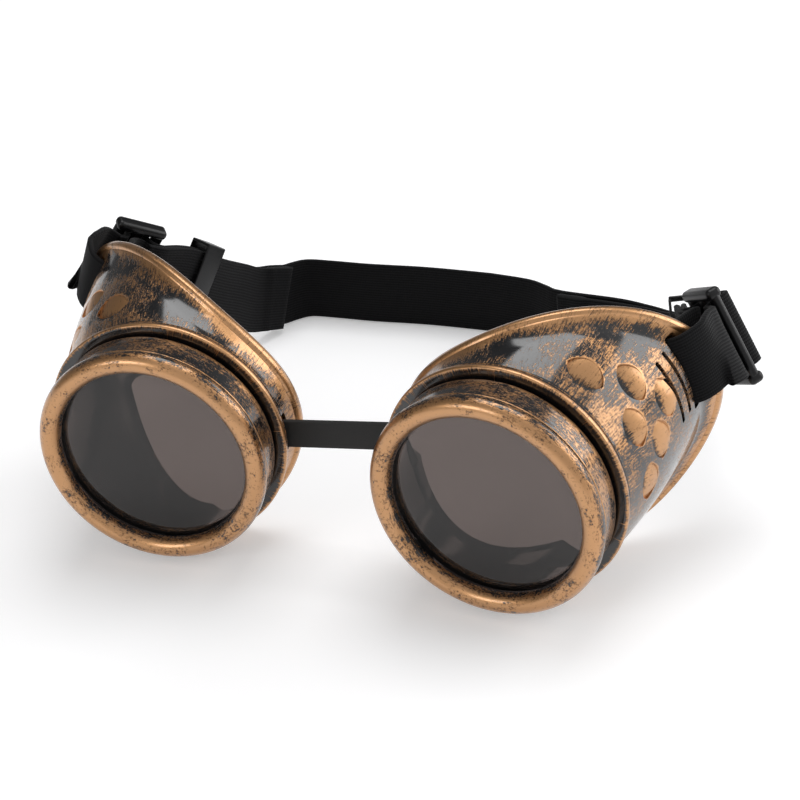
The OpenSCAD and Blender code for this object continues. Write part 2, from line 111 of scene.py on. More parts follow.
class VentSizes(PropertyGroup):
    """Sizes of the scoops, slits and strap slots"""
    scoop_l: length("Scoop Length", 10.4, "Length of a vent scoop round the cup")
    scoop_w: length("Scoop Width", 7.4, "Width of a vent scoop along the axis")
    scoop_deep: length("Scoop Front Depth", 1.85, "Depth of a scoop at its front edge")
    scoop_shallow: length("Scoop Rear Depth", 0.12, "Depth of a scoop at its rear edge")
    slit_w: length("Slit Width", 1.2)
    slit_l: length("Slit Length", 18.5)
    band_slot_w: length("Band Slot Width", 2.9)
    band_slot_l: length("Band Slot Length", 21.8)
    nose_slot_w: length("Nose Slot Width", 2.6)
    nose_slot_l: length("Nose Slot Length", 11)


class RingSizes(PropertyGroup):
    """Sizes of the retaining rings and lenses"""
    ring_r: length("Bead Radius", 30.5, "Outer radius of the rounded front bead")
    window_r: length("Window Radius", 24.9, "Radius of the window in front of the lens")
    band_r: length("Band Radius", 29.6, "Radius behind the bead")
    bore_r: length("Bore Radius", 27)
    depth: length("Depth", 10.4, "Depth from the bead's widest circle to the rear edge")
    seat: length("Lens Seat", 1.7)
    lens_r: length("Lens Radius", 26.5)
    lens_t: length("Lens Thickness", 2)
    lens_front: length("Lens Front", 1.73, "Depth of the lens's front face")


class StrapSizes(PropertyGroup):
    """Sizes of the straps and buckles"""
    band_w: length("Band Width", 20)
    band_t: length("Band Thickness", 1.5)
    hem_t: length("Hem Thickness", 2.9, "Thickness of the folded hem at each end")
    ribs: IntProperty(name="Ribs", description="Ribs woven along the headband", default=24,
                      min=4, max=30)
    rib_h: length("Rib Height", 0.06)
    nose_w: length("Nose Strap Height", 7.8)
    nose_t: length("Nose Strap Thickness", 1.6)
    glide_l: length("Glide Length", 15.2, "Length along the headband")
    glide_bar_t: length("Glide Bar Thickness", 2.6)
    glide_bar_w: length("Glide Bar Width", 3.4)
    glide_mid_w: length("Middle Bar Width", 2.6)
    glide_mid_t: length("Middle Bar Thickness", 2.2)
    rail_w: length("Rail Width", 3)
    rail_t: length("Rail Thickness", 4.2)
    glide_play: length("Glide Play", 0.6, "Play between headband and rails")
    keeper_l: length("Keeper Length", 8, "Length along the headband")
    keeper_wall: length("Keeper Wall", 0.9)
    keeper_gap: length("Keeper Gap", 2, "Height above the headband")
    keeper_open: length("Keeper Opening", 5, "Opening across the doubled band")


class Finishes(PropertyGroup):
    """Colours of the finishes"""
    copper: colour("Copper", (0.54, 0.285, 0.125), "Brushed copper on the raised surfaces")
    copper_deep: colour("Deep Copper", (0.15, 0.072, 0.028), "Copper where it is rubbed thin")
    lacquer: colour("Black Lacquer", (0.005, 0.005, 0.006), "Glossy black under the copper")
    tint: colour("Lens Tint", (0.105, 0.080, 0.072), "Colour of light through the lens")
    elastic: colour("Elastic", (0.0035, 0.0035, 0.004), "Black elastic yarn")
    buckle: colour("Buckle", (0.004, 0.004, 0.0045), "Black buckle plastic")
    floor: colour("Floor", (0.86, 0.86, 0.87), "Pale studio floor")


def given(group):
    """Sizes or colours as set in the panel"""
    return getattr(bpy.context.scene, "goggle_" + group)


def shift(x, y, z):
    return Matrix.Translation((x, y, z))


def spun(radians, axis):
    return Matrix.Rotation(radians, 4, axis)


def mirrored(side, matrix):
    return matrix if side == "left" else Matrix.Scale(-1, 4, (1, 0, 0)) @ matrix


# Meshes: a primitive is added, then placed and cleaned in edit mode

def deselect():
    if bpy.context.object and bpy.context.object.mode != "OBJECT":
        bpy.ops.object.mode_set(mode="OBJECT")
    bpy.ops.object.select_all(action="DESELECT")


def only(obj):
    deselect()
    obj.select_set(True)
    bpy.context.view_layer.objects.active = obj


@contextmanager
def editing(obj):
    """Edit mode with all of the mesh selected"""
    only(obj)
    bpy.ops.object.mode_set(mode="EDIT")
    bpy.ops.mesh.select_all(action="SELECT")
    yield
    bpy.ops.object.mode_set(mode="OBJECT")


def named(name):
    """The object that was just added, under its name"""
    obj = bpy.context.object
    obj.name = obj.data.name = name
    return obj


def put(obj, matrix):
    """Moves the mesh and keeps its faces outwards when it is mirrored"""
    obj.data.transform(matrix)
    if matrix.determinant() < 0:
        obj.data.flip_normals()
    return obj


def modify(obj, kind, **settings):
    """Adds a modifier, sets it and applies it"""
    only(obj)
    modifier = obj.modifiers.new(kind.title(), kind)
    for name, value in settings.items():
        setattr(modifier, name, value)
    bpy.ops.object.modifier_apply(modifier=modifier.name)


def tidy_mesh(obj, merge=2e-6, caps=False):
    """Merges doubles, closes open ends and turns the faces outwards"""
    with editing(obj):
        bpy.ops.mesh.remove_doubles(threshold=merge)
        if caps:
            bpy.ops.mesh.select_all(action="SELECT")
            bpy.ops.mesh.fill_holes(sides=0)
        bpy.ops.mesh.select_all(action="SELECT")
        bpy.ops.mesh.normals_make_consistent(inside=False)


def shade(obj, degrees=35):
    only(obj)
    bpy.ops.object.shade_smooth_by_angle(angle=math.radians(degrees))


def points_of(obj):
    flat = np.empty(len(obj.data.vertices) * 3)
    obj.data.vertices.foreach_get("co", flat)
    return flat.reshape(-1, 3)


def wrapped(name, around, along, place, loop=False, marks=None):
    """Grid rolled into a tube: place(u, v) gives its points, u closed, v closed with loop"""
    deselect()
    bpy.ops.mesh.primitive_grid_add(x_subdivisions=around, y_subdivisions=along, size=1)
    obj = named(name)
    u, v = (points_of(obj)[:, :2] + 0.5).T
    obj.data.vertices.foreach_set("co", np.asarray(place(u, v)).reshape(-1))
    if marks:
        paint(obj, marks.__name__, marks(u, v))
    obj.data.update()
    tidy_mesh(obj, caps=not loop)
    return obj


def turned(name, outline, steps, matrix):
    """Closed outline of radius and depth spun about the lens axis"""
    deselect()
    bpy.ops.mesh.primitive_circle_add(vertices=len(outline), fill_type="NOTHING", radius=1)
    obj = named(name)
    for vertex, (r, t) in zip(obj.data.vertices, outline):
        vertex.co = (r, t, 0)
    with editing(obj):
        bpy.ops.mesh.spin(steps=steps, angle=math.tau, center=(0, 0, 0), axis=(0, 1, 0))
    tidy_mesh(obj)
    return put(obj, matrix)


def rounded_bar(name, size, matrix, rounding, segments=5):
    """Cube stretched to size with rounded edges"""
    deselect()
    bpy.ops.mesh.primitive_cube_add(size=1)
    obj = named(name)
    with editing(obj):
        bpy.ops.transform.resize(value=size)
    modify(obj, "BEVEL", width=rounding, segments=segments, limit_method="NONE")
    return put(obj, matrix)


def joined(name, pieces):
    deselect()
    for piece in pieces:
        piece.select_set(True)
    bpy.context.view_layer.objects.active = pieces[0]
    bpy.ops.object.join()
    pieces[0].name = pieces[0].data.name = name
    return pieces[0]


def cut(obj, tools, operation="DIFFERENCE"):
    for tool in tools:
        modify(obj, "BOOLEAN", object=tool, operation=operation, solver="EXACT")
        bpy.data.objects.remove(tool)


def paint(obj, name, values):
    """Stores one number or vector per point"""
    vector = np.ndim(values) == 2
    kind = "FLOAT_VECTOR" if vector else "FLOAT"
    attribute = obj.data.attributes.new(name, kind, "POINT")
    flat = np.asarray(values, dtype=np.float32).reshape(-1)
    attribute.data.foreach_set("vector" if vector else "value", flat)


def moved(points, matrix):
    m = np.array(matrix)
    return points @ m[:3, :3].T + m[:3, 3]


def ramp(x, low, high):
    t = np.clip((x - low) / (high - low), 0, 1)
    return t * t * (3 - 2 * t)


# Shader sums

class Value:
    """A number that varies over a surface; sums and products add Math nodes"""

    def __init__(self, finish, socket):
        self.finish = finish
        self.socket = socket

    def _math(self, operation, *terms):
        node = self.finish.add("Math", dict(enumerate(terms)), operation=operation)
        return Value(self.finish, node.outputs[0])

    def __add__(self, other):
        return self._math("ADD", self, other)

    def __sub__(self, other):
        return self._math("SUBTRACT", self, other)

    def __rsub__(self, other):
        return self._math("SUBTRACT", other, self)

    def __mul__(self, other):
        return self._math("MULTIPLY", self, other)

    __rmul__ = __mul__

    def max(self, other):
        return self._math("MAXIMUM", self, other)

    def wave(self, operation):
        """Sine or cosine, moved to between 0 and 1"""
        return self._math(operation, self) * 0.5 + 0.5

    def step(self, low, high):
        """Smooth rise from 0 at low to 1 at high"""
        node = self.finish.add("MapRange", {"Value": self, "From Min": low, "From Max": high},
                               interpolation_type="SMOOTHSTEP")
        return Value(self.finish, node.outputs["Result"])


class Finish:
    """The nodes of a new material, by its name, or of the world"""

    def __init__(self, owner):
        self.owner = bpy.data.materials.new(owner) if isinstance(owner, str) else owner
        self.owner.use_nodes = True
        self.tree = self.owner.node_tree
        self.tree.nodes.clear()

    def close(self, shader, kind="OutputMaterial"):
        self.tree.links.new(shader.outputs[0], self.add(kind).inputs["Surface"])
        return self.owner

    def add(self, kind, sockets=None, **settings):
        node = self.tree.nodes.new("ShaderNode" + kind)
        for name, value in settings.items():
            setattr(node, name, value)
        for key, value in (sockets or {}).items():
            self.feed(node.inputs[key], value)
        return node

    def feed(self, socket, value):
        if isinstance(value, Value):
            self.tree.links.new(value.socket, socket)
        elif isinstance(value, bpy.types.NodeSocket):
            self.tree.links.new(value, socket)
        elif socket.type == "RGBA" and len(value) == 3:
            socket.default_value = (*value, 1)
        else:
            socket.default_value = value

    def own(self, name):
        """Number stored on the mesh"""
        return Value(self, self.add("Attribute", attribute_name=name).outputs["Fac"])

    def own_place(self, name):
        return self.add("Attribute", attribute_name=name).outputs["Vector"]

    def place(self):
        return self.add("TexCoord").outputs["Object"]

    def scaled(self, vector, scale):
        return self.add("VectorMath", {0: vector, 1: scale}, operation="MULTIPLY").outputs[0]

    def noise(self, vector, scale=1.0, detail=3.0, roughness=0.5, distortion=0.0):
        node = self.add("TexNoise",
                        {"Vector": vector, "Scale": scale, "Detail": detail,
                         "Roughness": roughness, "Distortion": distortion})
        return Value(self, node.outputs["Fac"])

    def mix(self, factor, a, b):
        node = self.add("Mix", data_type="RGBA")
        self.feed(node.inputs["Factor"], factor)
        self.feed(node.inputs[6], a)
        self.feed(node.inputs[7], b)
        return node.outputs[2]

    def bump(self, height, distance, strength=1.0):
        node = self.add("Bump",
                        {"Height": height, "Distance": distance, "Strength": strength})
        return node.outputs["Normal"]

    def surface(self, **sockets):
        names = {key.replace("_", " ").title(): value for key, value in sockets.items()}
        fixed = {"Ior": "IOR", "Specular Ior Level": "Specular IOR Level"}
        shader = self.add("BsdfPrincipled",
                          {fixed.get(name, name): value for name, value in names.items()})
        return self.close(shader)


def aged_copper(name, streaks, blots):
    """Copper brushed thinly over glossy black: solid where coat is 1, black where it is 0"""
    look = given("finishes")
    f = Finish(name)
    at = f.own_place("local")
    coat = f.own("coat")
    strokes = f.noise(f.scaled(at, streaks), 1.0, 4.0, 0.65, 0.5)
    hairs = f.noise(f.scaled(at, tuple(3.1 * s for s in streaks)), 1.0, 2.0, 0.6)
    patches = f.noise(at, 0.13, 2.0, 0.5)
    specks = f.noise(at, blots, 3.0, 0.75)
    cover = strokes * 0.5 + hairs * 0.4 + patches * 0.4 + specks * 0.45 - 0.875 + coat * 0.62
    mask = cover.step(0.27, 0.335)
    thick = cover.step(0.29, 0.46)
    copper = f.mix(thick, tuple(look.copper_deep), tuple(look.copper))
    base = f.mix(mask, tuple(look.lacquer), copper)
    rough = mask * 0.2 + hairs * 0.14 + 0.06
    return f.surface(base_color=base, metallic=mask * 0.92, roughness=rough,
                     normal=f.bump(mask * (thick * 0.4 + hairs * 0.6 + 0.5), 0.00009, 0.45),
                     coat_weight=0.7, coat_roughness=0.12)


def black_moulding(name, rgb, roughness, grain, depth):
    """Plain black moulded plastic with a fine grain"""
    f = Finish(name)
    at = f.place()
    grains = f.noise(at, grain, 4.0, 0.6)
    cloud = f.noise(at, 90.0, 2.0, 0.5)
    base = f.mix(cloud.step(0.3, 0.7), tuple(0.8 * c for c in rgb), tuple(1.3 * c for c in rgb))
    return f.surface(base_color=base, roughness=grains * 0.16 + (roughness - 0.08),
                     normal=f.bump(grains, depth, 0.6), specular_ior_level=0.32)


def woven_elastic(name):
    """Ribbed elastic: yarn across the ribs, darker between them as painted shade and lighter on the
    ridges as a painted highlight
    """
    look = given("finishes")
    f = Finish(name)
    at = f.own_place("weave")
    split = f.add("SeparateXYZ", {0: at})
    across = Value(f, split.outputs[0])
    along = Value(f, split.outputs[1])
    yarn_pitch = 0.55
    ridge = (across * math.tau).wave("COSINE")
    yarn = (along * (math.tau / yarn_pitch) + ridge * 1.6).wave("SINE")
    fuzz = f.noise(at, 3.5, 3.0, 0.6)
    # Painted highlight on the rib ridges and painted shade between them, mixed with the yarn and fuzz
    # tone
    lit = (ridge * 0.35 + yarn * 0.3 + fuzz * 0.55).step(0.25, 1.0)
    dark = tuple(0.6 * c for c in look.elastic)
    light = tuple(1.8 * c for c in look.elastic)
    return f.surface(base_color=f.mix(lit, dark, light), roughness=0.92 - 0.2 * ridge,
                     normal=f.bump(ridge * 0.5 + yarn * 0.35 + fuzz * 0.25, 0.00016, 0.8),
                     sheen_weight=0.06, sheen_roughness=0.4, specular_ior_level=0.16)


def tinted_glass(name):
    look = given("finishes")
    f = Finish(name)
    film = f.noise(f.place(), 35.0, 3.0, 0.5)
    return f.surface(base_color=tuple(look.tint), roughness=film * 0.006,
                     transmission_weight=1.0, ior=1.5)


def moulded_rubber(name):
    f = Finish(name)
    grain = f.noise(f.place(), 2600.0, 3.0, 0.6)
    base = f.mix(grain.step(0.3, 0.7), (0.006, 0.006, 0.006), (0.013, 0.0125, 0.012))
    return f.surface(base_color=base, roughness=grain * 0.15 + 0.6,
                     normal=f.bump(grain, 0.00005, 0.5))


def dress(obj, material):
    obj.data.materials.clear()
    obj.data.materials.append(material)


# The cups' shape, as radius and depth round the lens axis

def rolled_eye(side, roll_share):
    """From a left cup's own frame, x to the temple and y back along the axis, to the goggles"""
    cup = given("cup")
    return (shift(cup.eye_spacing / 2, -cup.eye_back, cup.axis_height)
            @ spun(-cup.toe_in, "Z") @ spun(SIDES[side] * cup.roll * roll_share, "Y"))


def eye_matrix(side):
    return mirrored(side, rolled_eye(side, 1))


def about_eye(side, roll_share):
    """Rolls a piece placed in the goggles' frame about the lens axis"""
    cup = given("cup")
    back = spun(cup.toe_in, "Z") @ shift(-cup.eye_spacing / 2, 0, 0)
    return mirrored(side, rolled_eye(side, roll_share) @ back)


def arc(r, t, wide, deep, start, stop, count):
    """Places on an arc about radius r and depth t, from start to stop in degrees"""
    return [(r + wide * math.cos(a), t + deep * math.sin(a))
            for a in np.radians(np.linspace(start, stop, count))]


def lobe(degrees):
    return (1 + np.cos(np.radians(degrees))) / 2


def edge_r(a):
    cup = given("cup")
    return (cup.face_r + cup.face_bulge * lobe(a - 45) ** 4.5 + 2.6 * MM * lobe(a + 42) ** 10
            + 1.4 * MM * lobe(a - 180) ** 4 - cup.edge_proud)


def edge_t(a):
    cup = given("cup")
    turn = np.radians(a)
    return (cup.face_depth + cup.face_rake * np.cos(turn) + cup.face_wrap * np.cos(2 * turn)
            + 2.3 * MM * np.sin(turn) + 3.6 * MM * lobe(a - 43) ** 6 - cup.edge_w)


def skin_start():
    cup = given("cup")
    return cup.lip_r - 1.2 * MM, cup.lip_front + cup.lip_w - 0.7 * MM


def skin(a, s):
    """Radius and depth of the outer wall, from the lip (s = 0) to the face edge (s = 1)"""
    r0, t0 = skin_start()
    reach = edge_t(a) - t0
    return r0 + (edge_r(a) - r0) * s + 0.03 * reach * np.sin(np.pi * s), t0 + reach * s


def skin_r_at(a, t):
    r0, t0 = skin_start()
    return skin(a, (t - t0) / (edge_t(a) - t0))[0]


def flare(a, t):
    """Rise of the wall into the rolled edge"""
    cup = given("cup")
    near = np.clip(1 - (edge_t(a) - t) / cup.flare_w, 0, 1)
    return cup.flare_h * near ** 1.8


EDGE_PROFILE = (
    (0.62, 0.04), (0.74, 0.08), (0.84, 0.14), (0.93, 0.22), (0.985, 0.34), (1.0, 0.5), (0.99, 0.66),
    (0.94, 0.8), (0.83, 0.92), (0.66, 0.985), (0.4, 1.0), (0.1, 1.0), (-0.25, 0.98), (-0.5, 0.88))


def cup_outline(a):
    """Closed outline of the cup's wall at the angles a, as rows of radii and depths"""
    cup = given("cup")
    rows = []

    def row(r, t):
        rows.append((r + 0 * a, t + 0 * a))

    bevel = 0.35 * MM
    row(cup.neck_bore_r, cup.neck_front + bevel)
    row(cup.neck_bore_r + bevel, cup.neck_front)
    row(cup.neck_r - bevel, cup.neck_front)
    start, stop = cup.neck_front + bevel, cup.lip_front - 0.5 * MM
    for t in np.linspace(start, stop, 30):
        turn = 360 * t / cup.thread_pitch + a
        fade = min(1, (t - start) / MM, (stop - t) / MM)
        row(cup.neck_r - 0.7 * MM * fade * lobe(turn) ** 1.5, t)
    row(cup.neck_r, cup.lip_front)
    lip = cup.lip_r - 0.6 * MM
    row(lip - 0.5 * MM, cup.lip_front)
    for r, t in arc(lip, cup.lip_front + 0.9 * MM, 0.6 * MM, 0.9 * MM, -80, 80, 11):
        row(r, t)
    for dr, dt in ((-0.25, 2.05), (-0.25, 2.25), (0.0, 2.4), (0.12, 2.62), (0.0, 2.85),
                   (-0.35, 3.0)):
        row(lip + dr * MM, cup.lip_front + dt * MM)
    first = (cup.lip_front + cup.lip_w + 0.1 * MM - skin_start()[1]) / (edge_t(a) - skin_start()[1])
    for share in np.linspace(0, 1, 50):
        r, t = skin(a, first + (0.985 - first) * share)
        rows.append((r + flare(a, t), t))
    for out, back in EDGE_PROFILE:
        rows.append((edge_r(a) + cup.edge_proud * out, edge_t(a) + cup.edge_w * back))
    for s in np.linspace(0.97, 0.0, 24):
        r, t = skin(a, s)
        rows.append((r - cup.wall, t))
    row(cup.neck_bore_r, cup.lip_front + cup.lip_w - 1.4 * MM)
    return rows


def leaf(half_l, half_w, grow, count=40):
    """Outline pointed at both ends, as places along the axis and round the cup"""
    radius = (half_l ** 2 + half_w ** 2) / (2 * half_w)
    reach = math.asin(half_l / radius)
    front = np.array([(-(radius * math.cos(t) - radius + half_w), radius * math.sin(t))
                      for t in np.linspace(-reach, reach, count // 2, endpoint=False)])
    ring = np.concatenate([front, -front])
    size = np.hypot(ring[:, 0], ring[:, 1])[:, None]
    return ring * (1 + grow / size)


def slot_ring(half_l, half_w, count=40):
    """Outline of a slot with rounded corners"""
    corner = min(half_w, half_l) * 0.6
    turn = np.linspace(0, math.tau, count, endpoint=False) + math.pi / count
    c, s = np.cos(turn), np.sin(turn)
    return np.stack([np.sign(c) * (half_w - corner) + c * corner,
                     np.sign(s) * (half_l - corner) + s * corner], axis=1)


def tower(name, rings, matrix):
    """Closed block through rings of points (height, along the axis, round the cup)"""
    stack = np.array(rings)
    count = stack.shape[1]

    def place(u, v):
        i = np.rint(v * (len(stack) - 1)).astype(int)
        j = np.rint(u * count).astype(int) % count
        return moved(stack[i, j], matrix)

    return wrapped(name, count, len(stack) - 1, place)


def facing(side, direction, t, tilt=0.0):
    """Frame on the wall: x outwards, y to the back, z round the cup"""
    return (eye_matrix(side) @ spun(-math.radians(direction), "Y")
            @ shift(0, t * MM, 0) @ spun(math.radians(tilt), "X"))


SCOOPS = ((61, 21.4), (45, 28.6), (30.7, 35.6), (30.7, 22.6), (17.5, 30), (3, 24.2))
BAND_SLOT = (31.5, 47, 10)
SLIT_STEPS = (4, 7.7)
NOSE_SLOT = (176, 16.2)


def scoop_cutter(side, direction, t):
    """Leaf-shaped recess, deepest at the front, with a gently domed floor"""
    vent = given("vent")
    rise = skin_r_at(direction, (t + 1) * MM) - skin_r_at(direction, (t - 1) * MM)
    matrix = (facing(side, direction, t) @ shift(skin_r_at(direction, t * MM), 0, 0)
              @ spun(-math.atan(rise / (2 * MM)), "Z"))
    floor_tilt = (vent.scoop_deep - vent.scoop_shallow) / vent.scoop_w
    middle = (vent.scoop_deep + vent.scoop_shallow) / 2
    rings = []
    for share in (0.02, 0.3, 0.6, 0.85, 1.0):
        ring = leaf(vent.scoop_l / 2, vent.scoop_w / 2, 0) * share
        dome = 0.35 * MM * (1 - share ** 2)
        height = -middle + floor_tilt * ring[:, 0] + dome - ring[:, 1] ** 2 / (2 * SCOOP_BEND)
        rings.append(np.column_stack([height, ring]))
    for height, grow in ((-0.06, 0.0), (0.1, 0.15), (3.0, 0.2)):
        ring = leaf(vent.scoop_l / 2, vent.scoop_w / 2, grow * MM)
        bend = ring[:, 1] ** 2 / (2 * SCOOP_BEND)
        rings.append(np.column_stack([height * MM - bend, ring]))
    return tower("scoop", rings, matrix)


def slot_cutter(matrix, half_l, half_w, reach, outer):
    """Straight slot through the wall, with a row of points just under the outer skin"""
    ring = slot_ring(half_l, half_w)
    heights = (reach[0] * MM, outer - 0.45 * MM, reach[1] * MM)
    return tower("slot", [np.column_stack([np.full(len(ring), x), ring]) for x in heights], matrix)


class GOGGLES_OT_cups(Operator):
    """Moulds both eye cups with their scoops, slits and slots"""
    bl_idname = "goggles.cups"
    bl_label = "Eye Cups"

    def execute(self, context):
        material = aged_copper("aged_copper_cup", (2.3, 0.26, 2.3), 1.6)
        for side in SIDES:
            dress(self.mould(side), material)
        return {"FINISHED"}

    def mould(self, side):
        matrix = eye_matrix(side)
        degrees = np.arange(CUP_STEPS) * 360 / CUP_STEPS
        outline = np.array(cup_outline(degrees))

        def place(u, v):
            i = np.rint(v * len(outline)).astype(int) % len(outline)
            j = np.rint(u * CUP_STEPS).astype(int) % CUP_STEPS
            r, t = outline[i, 0, j], outline[i, 1, j]
            turn = np.radians(degrees[j])
            return moved(np.stack([r * np.cos(turn), t, r * np.sin(turn)], axis=1), matrix)

        cup = wrapped(side + "_cup", CUP_STEPS, len(outline), place, loop=True)
        vent = given("vent")
        scoops = [scoop_cutter(side, *scoop) for scoop in SCOOPS]
        direction, t, tilt = BAND_SLOT
        outer = skin_r_at(direction, t * MM)
        openings = [(0, vent.band_slot_l, vent.band_slot_w)]
        openings += [(step, vent.slit_l, vent.slit_w) for step in SLIT_STEPS]
        slots = [slot_cutter(facing(side, direction, t, tilt) @ shift(0, -step * MM, 0),
                             long / 2, wide / 2, CUTTER_REACH, outer) for step, long, wide in openings]
        direction, t = NOSE_SLOT
        slots.append(slot_cutter(facing(side, direction, t), vent.nose_slot_l / 2,
                                 vent.nose_slot_w / 2, NOSE_CUTTER_REACH,
                                 skin_r_at(direction, t * MM)))
        cut(cup, [joined("scoops", scoops), joined("slots", slots)])
        tidy_mesh(cup, merge=1e-6)
        self.coat(cup, matrix)
        shade(cup, 32)
        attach(cup, side + "_cup")
        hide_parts(side + "_eye_cup")
        return cup

    def coat(self, obj, matrix):
        """Stores the place in the cup's frame and how solid the copper is, with less copper at the
        scoop fronts for bare lacquer and painted shade
        """
        cup = given("cup")
        vent = given("vent")
        local = moved(points_of(obj), matrix.inverted())
        x, t, z = local.T
        r = np.hypot(x, z)
        a = np.degrees(np.arctan2(z, x))
        outer = skin_r_at(a, t)
        coat = 0.43 + 0.07 * np.exp(-((a - 38) / 34) ** 2) - 0.1 * np.exp(-((a - 105) / 34) ** 2)
        lip_t = cup.lip_front + cup.lip_w
        grass = ramp(t, lip_t + 5 * MM, lip_t + 1.5 * MM) * ramp(t, lip_t, lip_t + 0.8 * MM)
        coat = coat + 0.07 * grass - 0.2 * ramp(t, lip_t + 0.6 * MM, lip_t)
        out = (r - edge_r(a)) / cup.edge_proud
        back = (t - edge_t(a)) / cup.edge_w
        on_flare = ramp(back, -cup.flare_w / cup.edge_w, -0.2) * ramp(out, -0.25, 0.1)
        coat = coat * (1 - on_flare) + on_flare * (0.5 + 0.26 * ramp(out, 0.05, 0.6))
        coat = coat - 0.1 * ramp(np.abs(back + cup.flare_w / cup.edge_w), 0.35, 0.05)
        lip_zone = (t < cup.lip_front + cup.lip_w + 0.05 * MM) & (r > cup.neck_r + 0.3 * MM)
        crest = ramp(r, cup.lip_r - 0.75 * MM, cup.lip_r - 0.3 * MM)
        coat = np.where(lip_zone, 0.34 + 0.38 * crest, coat)
        inside = r < outer - 0.8 * cup.wall
        coat = np.where(inside & (t > cup.lip_front), 0.0, coat)
        coat = np.where(r < cup.neck_r + 0.2 * MM, np.minimum(coat, 0.0), coat)
        radius = ((vent.scoop_l / 2) ** 2 + (vent.scoop_w / 2) ** 2) / vent.scoop_w
        for direction, depth in SCOOPS:
            d = math.radians(direction)
            u = t - depth * MM
            v = -x * math.sin(d) + z * math.cos(d)
            facing_out = x * math.cos(d) + z * math.sin(d) > 0
            offset = radius - vent.scoop_w / 2
            edge = np.maximum(np.hypot(u - offset, v), np.hypot(u + offset, v)) - radius
            solid = ramp(edge, 0.45 * MM, 0.1 * MM) * facing_out * (r > outer - 0.9 * cup.wall)
            # Front of each scoop is darker: partly bare black lacquer that the brush misses, partly
            # painted shade in the scoop's deep end
            bare_lacquer_and_shade = ramp(u, vent.scoop_w * 0.02, -vent.scoop_w * 0.32) * ramp(edge, 0.3 * MM, 0.0)
            floor = np.maximum(coat, 0.76 * solid) - 0.5 * bare_lacquer_and_shade * solid
            coat = np.where(solid > 0, floor, coat)
        turn = np.radians(a)
        place = np.column_stack([STROKE_R * np.cos(turn), t / MM, STROKE_R * np.sin(turn)])
        paint(obj, "local", place)
        paint(obj, "coat", np.clip(coat, 0, 1))


class GOGGLES_OT_rings(Operator):
    """Turns both retaining rings"""
    bl_idname = "goggles.rings"
    bl_label = "Retaining Rings"

    def execute(self, context):
        material = aged_copper("aged_copper_ring", (0.42, 1.6, 0.42), 1.5)
        for side in SIDES:
            dress(self.turn(side), material)
        return {"FINISHED"}

    def turn(self, side):
        ring = given("ring")
        matrix = eye_matrix(side)
        bead = (ring.ring_r - ring.window_r) / 2
        middle = ring.window_r + bead
        outline = arc(middle, 0.8 * MM, bead, bead + 0.2 * MM, 180, 360, 33)
        line_t = 2.5 * MM
        outline += [(ring.ring_r - 0.03 * MM, 1.3 * MM), (ring.ring_r - 0.25 * MM, 1.7 * MM)]
        outline += [(ring.band_r + 0.12 * MM, 1.95 * MM), (ring.band_r + 0.1 * MM, 2.1 * MM)]
        outline += arc(ring.band_r + 0.1 * MM, line_t, 0.38 * MM, 0.35 * MM, -80, 80, 9)
        outline += [(ring.band_r, 3.0 * MM), (ring.band_r, 3.3 * MM)]
        outline += [(ring.band_r - 0.05 * MM * (i % 2), t) for i, t in
                    enumerate(np.linspace(4 * MM, ring.depth - 1.6 * MM, 7))]
        rear = 0.6 * MM
        outline += arc(ring.band_r - rear, ring.depth - rear, rear, rear, 0, 90, 7)
        outline += [(ring.bore_r + 0.4 * MM, ring.depth), (ring.bore_r, ring.depth - 0.4 * MM)]
        outline += [(ring.bore_r, ring.seat), (ring.window_r + 0.15 * MM, ring.seat)]
        piece = turned(side + "_ring", outline, RING_STEPS, matrix)
        local = moved(points_of(piece), matrix.inverted())
        r, t = np.hypot(local[:, 0], local[:, 2]), local[:, 1]
        a = np.arctan2(local[:, 2], local[:, 0])
        on_bead = ramp(t, 2.0 * MM, 1.3 * MM)
        rim = ramp(np.abs(r - middle) / bead, 0.72, 0.98)
        coat = on_bead * (0.74 - 0.22 * rim) + (1 - on_bead) * (0.505 + 0.05 * np.sin(2 * a + 1))
        on_line = ramp(np.abs(t - line_t), 0.35 * MM, 0.1 * MM) * (r > ring.band_r + 0.15 * MM)
        coat = coat + 0.26 * on_line
        gap = (ramp(np.abs(t - 1.98 * MM), 0.3 * MM, 0.08 * MM)
               + ramp(np.abs(t - 3.05 * MM), 0.3 * MM, 0.1 * MM))
        coat = coat - 0.35 * gap * (r < ring.band_r + 0.3 * MM)
        coat = coat + 0.18 * ramp(t, ring.depth - 1.4 * MM, ring.depth - 0.5 * MM)
        coat = np.where((r < ring.bore_r + 0.05 * MM) & (t > 0.9 * MM), 0.0, coat)
        paint(piece, "local", local / MM)
        paint(piece, "coat", np.clip(coat, 0, 1))
        shade(piece, 40)
        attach(piece, side + "_ring")
        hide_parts(side + "_retaining_ring")
        return piece


class GOGGLES_OT_lenses(Operator):
    """Turns both lenses and finishes the gaskets"""
    bl_idname = "goggles.lenses"
    bl_label = "Lenses and Gaskets"

    def execute(self, context):
        ring = given("ring")
        glass = tinted_glass("tinted_lens")
        rubber = moulded_rubber("gasket_rubber")
        front, back, bevel = ring.lens_front, ring.lens_front + ring.lens_t, 0.25 * MM
        half = [(0, 0)] + [(ring.lens_r * s, 0) for s in (0.25, 0.5, 0.75)]
        half += [(ring.lens_r - bevel, 0), (ring.lens_r - bevel * 0.3, bevel * 0.3),
                 (ring.lens_r, bevel)]
        outline = [(r, front + t) for r, t in half] + [(r, back - t) for r, t in reversed(half)]
        for side in SIDES:
            lens = turned(side + "_lens_disc", outline, LENS_STEPS, eye_matrix(side))
            dress(lens, glass)
            shade(lens, 30)
            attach(lens, side + "_lens_set")
            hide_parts(side + "_lens")
            dress(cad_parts[side + "_lens_gasket"], rubber)
        return {"FINISHED"}


# The headband's route, in the frame whose origin is midway between the rings, in millimetres

